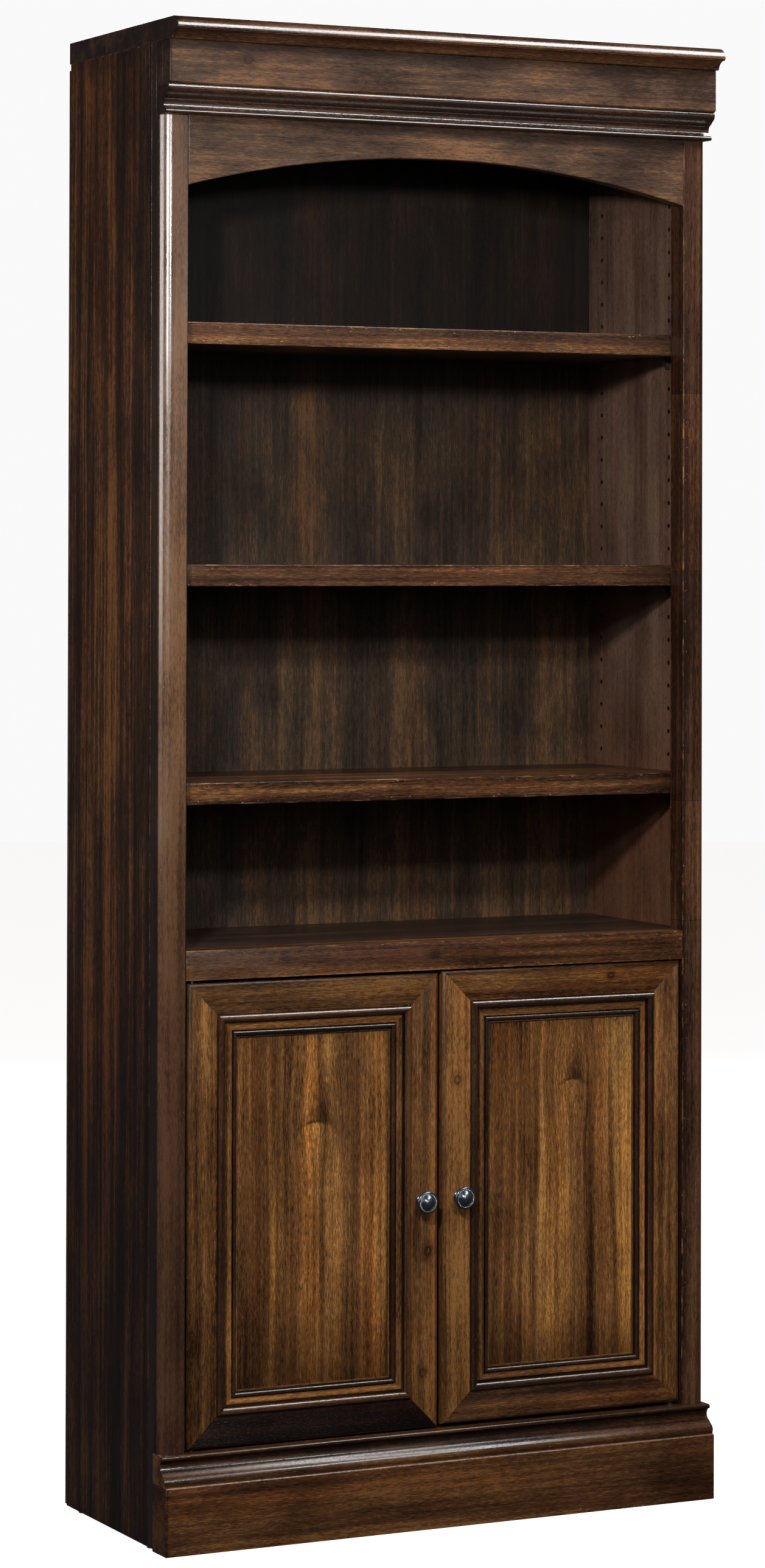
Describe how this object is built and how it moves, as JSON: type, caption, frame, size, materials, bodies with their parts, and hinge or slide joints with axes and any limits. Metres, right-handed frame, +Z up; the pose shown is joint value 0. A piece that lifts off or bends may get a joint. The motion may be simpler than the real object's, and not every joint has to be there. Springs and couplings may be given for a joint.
{
  "type": "bookcase with cabinet",
  "caption": "Tall bookcase with adjustable open shelves over a two-door panelled cabinet, with rounded corner posts, an arched top rail, a moulded top and a plinth base.",
  "frame": {"origin": "centre of the bounding box's underside, on the floor that the case stands on", "axes": "+X to the bookcase's right seen from the front, +Y towards its back, +Z up"},
  "size_m": [0.824, 0.369, 2],
  "materials": {
    "case_wood": "dark umber stain over reddish acacia, satin lacquer, rubbed edges",
    "side_wood": "near-black umber stain with reddish vertical streaks, satin lacquer",
    "inner_wood": "dark umber stain, satin lacquer",
    "shelf_wood": "dark umber stain, satin lacquer, finger-jointed edging",
    "door_wood": "dark umber stain with amber streaks, glazed grooves, satin lacquer",
    "door_panel_wood": "golden-brown stain with darker edges and knots, satin lacquer",
    "back_board": "stained veneer in front, plain board edge",
    "raw_wood": "unfinished",
    "pewter": "dark pewter plating, satin, brighter on the raised beads",
    "zinc": "zinc plated",
    "dark_steel": "dull",
    "black_plastic": "moulded"
  },
  "bodies": {
    "root": {"side_panel_left": "side_wood", "side_panel_right": "side_wood", "post_left": "case_wood", "post_right": "case_wood", "top_slab": "case_wood", "ceiling_panel": "inner_wood", "top_stretcher": "inner_wood", "frieze_board": "case_wood", "bed_moulding": "case_wood", "arch_rail": "case_wood", "mid_rail": "case_wood", "deck_panel": "inner_wood", "cabinet_floor": "inner_wood", "plinth_board": "case_wood", "base_cap": "case_wood", "back_panel": "back_board", "plinth_glue_blocks": "raw_wood", "case_dowels": "raw_wood", "back_screws": "zinc", "nail_glides": "dark_steel", "supports_upper": "zinc", "supports_middle": "zinc", "supports_lower": "zinc", "supports_cabinet": "zinc", "catch_housing": "black_plastic", "catch_magnets": "dark_steel", "pivots_left": "zinc", "pivots_right": "zinc", "pivot_washers": "black_plastic", "pivot_screws": "zinc"},
    "door_left": {"left_outer_stile": "door_wood", "left_inner_stile": "door_wood", "left_top_rail": "door_wood", "left_bottom_rail": "door_wood", "left_panel": "door_panel_wood", "left_moulding": "door_wood", "left_bushes": "black_plastic", "left_strike": "zinc", "left_knob": "pewter", "left_knob_screw": "zinc"},
    "door_right": {"right_outer_stile": "door_wood", "right_inner_stile": "door_wood", "right_top_rail": "door_wood", "right_bottom_rail": "door_wood", "right_panel": "door_panel_wood", "right_moulding": "door_wood", "right_bushes": "black_plastic", "right_strike": "zinc", "right_knob": "pewter", "right_knob_screw": "zinc"},
    "shelf_upper": {"shelf_upper_board": "shelf_wood", "shelf_upper_edging": "shelf_wood"},
    "shelf_middle": {"shelf_middle_board": "shelf_wood", "shelf_middle_edging": "shelf_wood"},
    "shelf_lower": {"shelf_lower_board": "shelf_wood", "shelf_lower_edging": "shelf_wood"},
    "cabinet_shelf": {"cabinet_shelf": "inner_wood"}
  },
  "joints": [
    {"name": "door_left_hinge", "type": "hinge", "parent": "root", "child": "door_left", "pos_m": [-0.3615, -0.1225, 0.437], "axis": [0, 0, -1], "range_deg": [0, 100]},
    {"name": "door_right_hinge", "type": "hinge", "parent": "root", "child": "door_right", "pos_m": [0.3615, -0.1225, 0.437], "axis": [0, 0, 1], "range_deg": [0, 100]},
    {"name": "shelf_upper_lift", "type": "slide", "parent": "root", "child": "shelf_upper", "axis": [0, 0, 1], "range_m": [0, 0.06]},
    {"name": "shelf_middle_lift", "type": "slide", "parent": "root", "child": "shelf_middle", "axis": [0, 0, 1], "range_m": [0, 0.06]},
    {"name": "shelf_lower_lift", "type": "slide", "parent": "root", "child": "shelf_lower", "axis": [0, 0, 1], "range_m": [0, 0.06]},
    {"name": "cabinet_shelf_lift", "type": "slide", "parent": "root", "child": "cabinet_shelf", "axis": [0, 0, 1], "range_m": [0, 0.06]}
  ]
}
